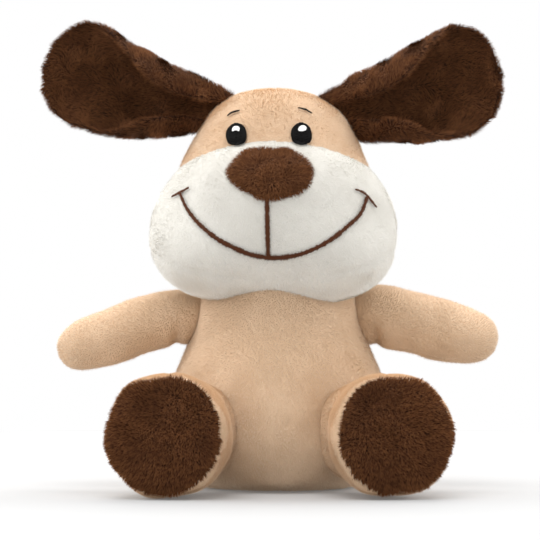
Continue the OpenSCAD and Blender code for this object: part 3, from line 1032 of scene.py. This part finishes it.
def disc_ends(edge_points, split, pitch=0.3):
    """Ends of level rows of stitches that fill an outline, each row in a few lengths."""
    edge_points = np.array(edge_points)
    low, high = edge_points[:, 1].min(), edge_points[:, 1].max()
    rows = []
    for i, z in enumerate(np.arange(low + 0.1, high - 0.05, pitch)):
        crossings = []
        for (x0, z0), (x1, z1) in zip(edge_points, np.roll(edge_points, -1, 0)):
            if (z0 - z) * (z1 - z) < 0:
                crossings.append(x0 + (x1 - x0) * (z - z0) / (z1 - z0))
        crossings.sort()
        for a, b in zip(crossings[::2], crossings[1::2]):
            parts = max(1, round((b - a) / split))
            shift = (0.5 if i % 2 else 0) * (b - a) / parts
            cuts = [a] + [c for c in (a + shift + (b - a) * k / parts for k in range(parts + 1))
                          if a + 0.5 < c < b - 0.5] + [b]
            rows += [((p, z), (q, z)) for p, q in zip(cuts, cuts[1:])]
    return rows


EYES = {"right": (-16.0, 145.0), "left": (10.0, 145.0)}
EYE_EDGE = [(-4.1, -0.6), (-3.5, 2.3), (-1.6, 4.3), (0.8, 4.6), (3.0, 3.4), (4.1, 0.6),
            (4.0, -2.4), (2.5, -4.3), (-0.2, -4.8), (-2.9, -3.9)]
GLINTS = {"right": [(-1.6, 1.3), (-1.2, 3.0), (0.4, 3.6), (1.7, 2.6), (1.4, 1.2), (0.2, 1.5)],
          "left": [(-1.3, 1.2), (-1.0, 2.8), (0.5, 3.6), (2.1, 3.0), (2.0, 1.5), (0.5, 1.0)]}
BROWS = {"right": [(-19.6, 153.2), (-17.6, 154.6), (-14.6, 155.2)],
         "left": [(8.9, 156.2), (11.6, 155.6), (14.3, 154.0)]}
for side, middle in EYES.items():
    outline = round_edge(np.array(EYE_EDGE) + middle, 90)
    satin(side + "_eye", "black_thread", disc_ends(outline, 4.2), 0.62)
    glint = round_edge(np.array(GLINTS[side]) * 0.9 + middle, 40)
    satin(side + "_eye_glint", "white_thread", disc_ends(glint, 6), 0.5, 1.35)
    satin(side + "_eyebrow", "black_thread",
          line_ends(BROWS[side], [0.4, 0.8, 0.4], 0.3, 1.2), 0.4)

SMILE = [(-38.7, 121.5), (-35.4, 114.4), (-30.5, 108.2), (-23.3, 102.3), (-15.3, 98.3),
         (-9.7, 96.3), (-1.6, 95.2), (6.9, 95.9), (14.5, 98.2), (22.0, 102.2), (27.8, 106.9),
         (33.4, 112.4), (36.3, 119.4)]
LIP = [(-3.7, 119.5), (-3.5, 108.0), (-3.2, 96.2)]
DIMPLES = {"right": [(-41.9, 119.8), (-38.6, 121.3), (-34.7, 123.3)],
           "left": [(31.4, 122.4), (35.4, 120.7), (40.0, 115.4)]}
satin("smile_stitching", "brown_thread",
      line_ends(SMILE, [1.1, 1.7, 1.9, 2.0, 1.9, 1.7, 1.3]), 0.45, name="smile_stitches")
satin("lip_stitching", "brown_thread", line_ends(LIP, [1.9, 1.8, 1.9]), 0.45,
      name="lip_stitches")
for side, line in DIMPLES.items():
    satin(side + "_dimple_stitch", "brown_thread", line_ends(line, [0.6, 1.2, 0.7]), 0.4,
          name=side + "_dimple_stitches")


# ---- Ears ----------------------------------------------------------------------------
# Two layers of the long brown pile, sewn back to back, flat and hardly filled. The narrow end
# is rolled forward and sewn into the side of the head; the wide end opens like a dish.
EAR_EDGE = {
    RIGHT: [(31, 163.5, 150.0), (38, 170.2, 149.0), (46, 175.0, 148.0), (58, 183.0, 147.4),
            (70, 190.4, 148.2), (80, 194.2, 150.4), (88, 191.0, 153.6), (94, 185.2, 159.2),
            (97.6, 176.4, 167.6)],
    LEFT: [(31, 163.5, 148.6), (38, 170.4, 146.6), (46, 175.6, 145.4), (57, 182.6, 145.2),
           (68, 189.6, 145.8), (78.5, 192.6, 147.4), (86.5, 188.6, 151.6), (91.8, 181.4, 158.2),
           (94.4, 173.2, 166.2)],
}
EAR_CURL = [(28, 160, 156, 2.4), (37, 166, 156, 4.0), (46, 166, 148, 10.0), (55, 150, 136, 15.5),
            (65, 114, 110, 15.5), (78, 84, 86, 11.5), (90, 68, 68, 5.6), (97, 60, 60, 2.4)]
ROOT_SLANT = 15
ROOT_WAY = (0.669131, 0, 0.742126)
for side, name in ((LEFT, "left"), (RIGHT, "right")):
    root = np.array(pivot[name + "_ear_flop"])
    first, last = EAR_EDGE[side][0][0], EAR_EDGE[side][-1][0]
    outs = first + (last - first) * np.sin(np.linspace(0, math.pi / 2, 64)) ** 0.9
    tops_lows = through(EAR_EDGE[side], outs)
    curls = through(EAR_CURL, outs)
    width_steps = np.linspace(-1, 1, 61)
    sheet = []
    for x, (top, low), (up_angle, low_angle, deep) in zip(outs, tops_lows, curls):
        middle, half = (top + low) / 2, (top - low) / 2
        angles = np.radians(np.where(width_steps > 0, up_angle, low_angle)) * width_steps
        stretch_up = max(math.sin(math.radians(min(up_angle, 90))), 0.2)
        stretch_low = max(math.sin(math.radians(min(low_angle, 90))), 0.2)
        z = middle + half * np.sin(angles) / np.where(width_steps > 0, stretch_up, stretch_low)
        y = deep * (np.cos(angles) - 0.45)
        lean = -3.0 + 5.0 * np.clip((x - 45) / 45, 0, 1)
        slant = ROOT_SLANT * np.clip((58 - x) / 27, 0, 1) ** 2 * (width_steps + 1) / 2
        sheet.append(np.column_stack([side * (x - slant), y + lean + root[1], z]))
    sheet = np.array(sheet)
    rows, columns = sheet.shape[:2]
    down = np.gradient(sheet, axis=0)
    over = np.gradient(sheet, axis=1)
    facing = np.cross(down, over)
    facing /= np.maximum(np.linalg.norm(facing, axis=2), 1e-6)[..., None]
    if facing[rows // 2, columns // 2, 1] > 0:
        facing = -facing
    flat = sheet.reshape(-1, 3)
    wave = (0.35 * ripple(flat, 19, 41 + side)).reshape(rows, columns)
    count = rows * columns
    outer_faces = [(a, a + 1, a + columns + 1, a + columns)
                   for a in range(count - columns) if (a + 1) % columns]
    inner_faces = [tuple(v + count for v in reversed(f)) for f in outer_faces]
    edge_loop = (list(range(columns)) + list(range(2 * columns - 1, count, columns))
                 + list(range(count - 2, count - columns - 1, -1))
                 + list(range(count - 2 * columns, 0, -columns)))
    rim = [(b, a, a + count, b + count)
           for a, b in zip(edge_loop, edge_loop[1:] + edge_loop[:1])]
    swell = 0.65 * np.sin(np.linspace(0, math.pi, columns)) ** 0.7
    for part, sign in (("_ear_front", 1), ("_ear_back", -1)):
        outer = sheet + facing * (sign * (0.35 + swell[None, :, None]) + wave[..., None])
        inner = sheet + facing * (sign * 0.05 + wave[..., None])
        points = np.vstack([outer.reshape(-1, 3), inner.reshape(-1, 3)])
        piece = made(name + part + "_pile", points, outer_faces + inner_faces + rim)
        smooth_shaded(piece)
        face_outward(piece)
        growing(piece, [1.0] * len(outer_faces) + [0.0] * len(inner_faces) + [0.8] * len(rim))
        combed(piece, lambda p: waves(p, (side * 0.9, 0.8, 13, 51), (0, 0.8, 12, 52),
                                      (0.2, 0.8, 14, 53)))
        long_pile(piece)
        cover(piece, name + part, None)
        way = np.array(ROOT_WAY) * [side, 1, 1]
        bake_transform(piece)


# ---- Floor and light -----------------------------------------------------------------
# A white table top under a large soft box, with one more behind and one at each side. The
# round top glows faintly, so that its edge is lost against the white room.
FLOOR_RADIUS, FLOOR_SIDES = 0.5, 96
floor_mesh = bpy.data.meshes.new("floor")
turns = [2 * math.pi * k / FLOOR_SIDES for k in range(FLOOR_SIDES)]
floor_mesh.from_pydata([(FLOOR_RADIUS * math.cos(t), FLOOR_RADIUS * math.sin(t), 0)
                        for t in turns], [], [tuple(range(FLOOR_SIDES))])
floor = bpy.data.objects.new("floor", floor_mesh)
scene.collection.objects.link(floor)
# White laminate, pressed: matt, no pattern.
table = plain("white_laminate", (0.40, 0.40, 0.40, 1), Roughness=0.8,
              Emission_Color=(1, 1, 1, 1), Emission_Strength=0.1)
floor_mesh.materials.append(table)
world = bpy.data.worlds.new("studio")
world.use_nodes = True
room = world.node_tree.nodes["Background"].inputs
room["Color"].default_value = (1, 1, 1, 1)
room["Strength"].default_value = 1.0
scene.world = world


def soft_box(name, place, size, power):
    """A rectangular lamp aimed at the middle of the toy."""
    light = bpy.data.lights.new(name, "AREA")
    light.shape = "RECTANGLE"
    light.size, light.size_y = size
    light.energy = power
    thing = bpy.data.objects.new(name, light)
    scene.collection.objects.link(thing)
    thing.location = place
    aim = Vector((0, 0, 0.1)) - Vector(place)
    thing.rotation_euler = aim.to_track_quat("-Z", "Y").to_euler()


soft_box("top_box", (-0.3, -0.55, 2.1), (1.6, 1.2), 27)
soft_box("back_box", (0.1, 0.7, 1.5), (1.2, 0.6), 14)
soft_box("left_box", (1.1, 0.2, 0.6), (0.8, 0.8), 7)
soft_box("right_box", (-1.1, 0.1, 0.6), (0.8, 0.8), 8)
